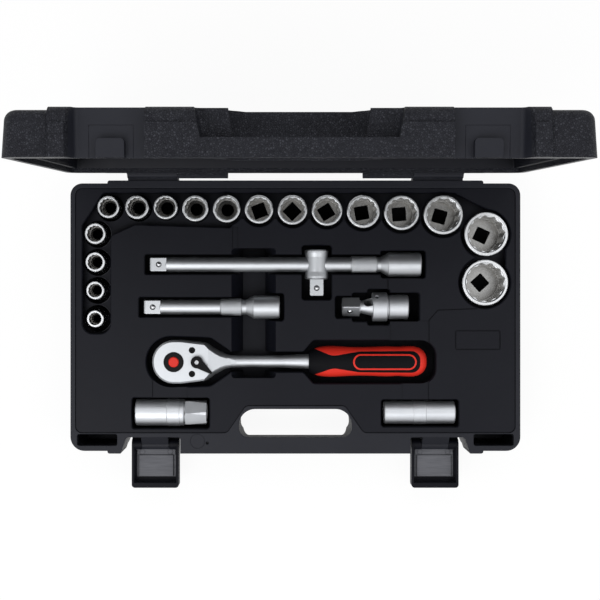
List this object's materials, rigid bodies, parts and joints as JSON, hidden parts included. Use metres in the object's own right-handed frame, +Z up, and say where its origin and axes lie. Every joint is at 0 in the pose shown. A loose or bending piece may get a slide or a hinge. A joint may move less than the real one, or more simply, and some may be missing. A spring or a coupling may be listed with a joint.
{
  "type": "socket wrench set in case",
  "caption": "Half-inch socket wrench set in an open hinged case: sockets standing in a moulded tray, with ratchet, extension bars, universal joint and spark plug sockets.",
  "frame": {"origin": "middle of the underside of the case base, on the surface it lies on", "axes": "+X to the right along the case, +Y towards the hinge, +Z up"},
  "size_m": [0.414, 0.3242, 0.3068],
  "materials": {
    "case_plastic": "moulded black plastic with a fine leather grain",
    "tray_plastic": "smooth satin black plastic",
    "satin_chrome": "satin chrome plating",
    "plain_steel": "bright steel",
    "black_metal": "blackened metal",
    "black_rubber": "soft matt black grip",
    "red_plastic": "red plastic"
  },
  "bodies": {
    "base": {"base_shell": "case_plastic", "tool_tray": "tray_plastic", "socket_rack": "tray_plastic", "hinge_pins": "plain_steel", "latch_pins": "plain_steel"},
    "lid": {"lid_shell": "case_plastic", "lid_liner": "tray_plastic"},
    "latch_left": {"latch_left": "case_plastic"},
    "latch_right": {"latch_right": "case_plastic"},
    "socket_10mm": {"socket_10mm": "satin_chrome"},
    "socket_11mm": {"socket_11mm": "satin_chrome"},
    "socket_12mm": {"socket_12mm": "satin_chrome"},
    "socket_13mm": {"socket_13mm": "satin_chrome"},
    "socket_14mm": {"socket_14mm": "satin_chrome"},
    "socket_15mm": {"socket_15mm": "satin_chrome"},
    "socket_16mm": {"socket_16mm": "satin_chrome"},
    "socket_17mm": {"socket_17mm": "satin_chrome"},
    "socket_18mm": {"socket_18mm": "satin_chrome"},
    "socket_19mm": {"socket_19mm": "satin_chrome"},
    "socket_20mm": {"socket_20mm": "satin_chrome"},
    "socket_21mm": {"socket_21mm": "satin_chrome"},
    "socket_22mm": {"socket_22mm": "satin_chrome"},
    "socket_24mm": {"socket_24mm": "satin_chrome"},
    "socket_27mm": {"socket_27mm": "satin_chrome"},
    "socket_30mm": {"socket_30mm": "satin_chrome"},
    "socket_32mm": {"socket_32mm": "satin_chrome"},
    "large_plug_socket": {"large_plug_socket": "satin_chrome", "large_plug_socket_sleeve": "black_rubber"},
    "small_plug_socket": {"small_plug_socket": "satin_chrome", "small_plug_socket_sleeve": "black_rubber"},
    "long_extension": {"long_extension_bar": "satin_chrome", "long_extension_spring": "plain_steel"},
    "long_extension_ball": {"long_extension_ball": "plain_steel"},
    "t_head": {"t_head": "satin_chrome", "t_head_spring": "plain_steel"},
    "t_head_ball": {"t_head_ball": "plain_steel"},
    "short_extension": {"short_extension_bar": "satin_chrome", "short_extension_spring": "plain_steel"},
    "short_extension_ball": {"short_extension_ball": "plain_steel"},
    "universal_joint": {"universal_socket_yoke": "satin_chrome", "universal_long_pin": "plain_steel"},
    "universal_block": {"universal_block": "plain_steel"},
    "universal_drive": {"universal_drive_yoke": "satin_chrome", "universal_short_pins": "plain_steel", "universal_spring": "plain_steel"},
    "universal_ball": {"universal_ball": "plain_steel"},
    "ratchet": {"ratchet_body": "satin_chrome", "ratchet_cover": "plain_steel", "ratchet_screws": "black_metal", "ratchet_grip": "black_rubber", "ratchet_grip_inlay": "red_plastic", "ratchet_grip_badge": "red_plastic"},
    "ratchet_drive": {"ratchet_drive_gear": "plain_steel", "ratchet_collar": "black_metal", "ratchet_button_spring": "plain_steel"},
    "release_button": {"ratchet_release_button": "red_plastic"},
    "ratchet_ball": {"ratchet_ball": "plain_steel"},
    "reversing_lever": {"ratchet_lever": "black_metal", "ratchet_lever_hub": "plain_steel"},
    "pawl": {"ratchet_pawl": "plain_steel"}
  },
  "joints": [
    {"name": "lid_hinge", "type": "hinge", "parent": "base", "child": "lid", "pos_m": [0, 0.13345, 0.048], "axis": [-1, 0, 0], "range_deg": [-86.5, 0]},
    {"name": "latch_left_hinge", "type": "hinge", "parent": "base", "child": "latch_left", "pos_m": [-0.131, -0.11847, 0.026], "axis": [1, 0, 0], "range_deg": [-90, 0]},
    {"name": "latch_right_hinge", "type": "hinge", "parent": "base", "child": "latch_right", "pos_m": [0.131, -0.11847, 0.026], "axis": [1, 0, 0], "range_deg": [-90, 0]},
    {"name": "socket_10mm_lift", "type": "slide", "parent": "base", "child": "socket_10mm", "axis": [0, 0, 1], "range_m": [0, 0.1]},
    {"name": "socket_11mm_lift", "type": "slide", "parent": "base", "child": "socket_11mm", "axis": [0, 0, 1], "range_m": [0, 0.1]},
    {"name": "socket_12mm_lift", "type": "slide", "parent": "base", "child": "socket_12mm", "axis": [0, 0, 1], "range_m": [0, 0.1]},
    {"name": "socket_13mm_lift", "type": "slide", "parent": "base", "child": "socket_13mm", "axis": [0, 0, 1], "range_m": [0, 0.1]},
    {"name": "socket_14mm_lift", "type": "slide", "parent": "base", "child": "socket_14mm", "axis": [0, 0, 1], "range_m": [0, 0.1]},
    {"name": "socket_15mm_lift", "type": "slide", "parent": "base", "child": "socket_15mm", "axis": [0, 0, 1], "range_m": [0, 0.1]},
    {"name": "socket_16mm_lift", "type": "slide", "parent": "base", "child": "socket_16mm", "axis": [0, 0, 1], "range_m": [0, 0.1]},
    {"name": "socket_17mm_lift", "type": "slide", "parent": "base", "child": "socket_17mm", "axis": [0, 0, 1], "range_m": [0, 0.1]},
    {"name": "socket_18mm_lift", "type": "slide", "parent": "base", "child": "socket_18mm", "axis": [0, 0, 1], "range_m": [0, 0.1]},
    {"name": "socket_19mm_lift", "type": "slide", "parent": "base", "child": "socket_19mm", "axis": [0, 0, 1], "range_m": [0, 0.1]},
    {"name": "socket_20mm_lift", "type": "slide", "parent": "base", "child": "socket_20mm", "axis": [0, 0, 1], "range_m": [0, 0.1]},
    {"name": "socket_21mm_lift", "type": "slide", "parent": "base", "child": "socket_21mm", "axis": [0, 0, 1], "range_m": [0, 0.1]},
    {"name": "socket_22mm_lift", "type": "slide", "parent": "base", "child": "socket_22mm", "axis": [0, 0, 1], "range_m": [0, 0.1]},
    {"name": "socket_24mm_lift", "type": "slide", "parent": "base", "child": "socket_24mm", "axis": [0, 0, 1], "range_m": [0, 0.1]},
    {"name": "socket_27mm_lift", "type": "slide", "parent": "base", "child": "socket_27mm", "axis": [0, 0, 1], "range_m": [0, 0.1]},
    {"name": "socket_30mm_lift", "type": "slide", "parent": "base", "child": "socket_30mm", "axis": [0, 0, 1], "range_m": [0, 0.1]},
    {"name": "socket_32mm_lift", "type": "slide", "parent": "base", "child": "socket_32mm", "axis": [0, 0, 1], "range_m": [0, 0.1]},
    {"name": "large_plug_socket_lift", "type": "slide", "parent": "base", "child": "large_plug_socket", "axis": [0, 0, 1], "range_m": [0, 0.1]},
    {"name": "small_plug_socket_lift", "type": "slide", "parent": "base", "child": "small_plug_socket", "axis": [0, 0, 1], "range_m": [0, 0.1]},
    {"name": "long_extension_lift", "type": "slide", "parent": "base", "child": "long_extension", "axis": [0, 0, 1], "range_m": [0, 0.1]},
    {"name": "short_extension_lift", "type": "slide", "parent": "base", "child": "short_extension", "axis": [0, 0, 1], "range_m": [0, 0.1]},
    {"name": "universal_joint_lift", "type": "slide", "parent": "base", "child": "universal_joint", "axis": [0, 0, 1], "range_m": [0, 0.1]},
    {"name": "ratchet_lift", "type": "slide", "parent": "base", "child": "ratchet", "axis": [0, 0, 1], "range_m": [0, 0.1]},
    {"name": "long_extension_ball_press", "type": "slide", "parent": "long_extension", "child": "long_extension_ball", "axis": [0, 0, 1], "range_m": [-0.0009, 0], "stiffness_N_per_m": 300, "springref_m": 0.001, "deforming": ["long_extension_spring"]},
    {"name": "t_head_slide", "type": "slide", "parent": "long_extension", "child": "t_head", "axis": [1, 0, 0], "range_m": [-0.0025, 0.0025]},
    {"name": "t_head_ball_press", "type": "slide", "parent": "t_head", "child": "t_head_ball", "axis": [0, 0, 1], "range_m": [-0.0009, 0], "stiffness_N_per_m": 300, "springref_m": 0.001, "deforming": ["t_head_spring"]},
    {"name": "short_extension_ball_press", "type": "slide", "parent": "short_extension", "child": "short_extension_ball", "axis": [0, 0, 1], "range_m": [-0.0009, 0], "stiffness_N_per_m": 300, "springref_m": 0.001, "deforming": ["short_extension_spring"]},
    {"name": "universal_block_tilt", "type": "hinge", "parent": "universal_joint", "child": "universal_block", "pos_m": [0.0752, 0.01045, 0.0365], "axis": [0, 0.7071, 0.7071], "range_deg": [0, 18]},
    {"name": "universal_drive_tilt", "type": "hinge", "parent": "universal_block", "child": "universal_drive", "pos_m": [0.0752, 0.01045, 0.0365], "axis": [0, 0.7071, -0.7071], "range_deg": [0, 18]},
    {"name": "universal_ball_press", "type": "slide", "parent": "universal_drive", "child": "universal_ball", "axis": [0, -0.7071, 0.7071], "range_m": [-0.0009, 0], "stiffness_N_per_m": 300, "springref_m": 0.001, "deforming": ["universal_spring"]},
    {"name": "ratchet_drive_spin", "type": "hinge", "parent": "ratchet", "child": "ratchet_drive", "pos_m": [-0.112, -0.04005, 0.038], "axis": [0, 0, 1], "continuous": true},
    {"name": "release_button_press", "type": "slide", "parent": "ratchet_drive", "child": "release_button", "axis": [0, 0, -1], "range_m": [0, 0.003], "stiffness_N_per_m": 300, "springref_m": -0.001, "deforming": ["ratchet_button_spring"]},
    {"name": "ratchet_ball_retreat", "type": "slide", "parent": "ratchet_drive", "child": "ratchet_ball", "axis": [0, 1, 0], "range_m": [0, 0.0009]},
    {"name": "reversing_lever_turn", "type": "hinge", "parent": "ratchet", "child": "reversing_lever", "pos_m": [-0.0905, -0.04005, 0.038], "axis": [0, 0, 1], "range_deg": [0, 73.6]},
    {"name": "pawl_rock", "type": "hinge", "parent": "ratchet", "child": "pawl", "pos_m": [-0.0905, -0.04005, 0.038], "axis": [0, 0, 1], "range_deg": [-9, 0]}
  ],
  "couplings": [
    {"joint": "universal_drive_tilt", "follows": "universal_block_tilt", "ratio": 1},
    {"joint": "ratchet_ball_retreat", "follows": "release_button_press", "ratio": 0.3},
    {"joint": "pawl_rock", "follows": "reversing_lever_turn", "ratio": -0.12228}
  ]
}
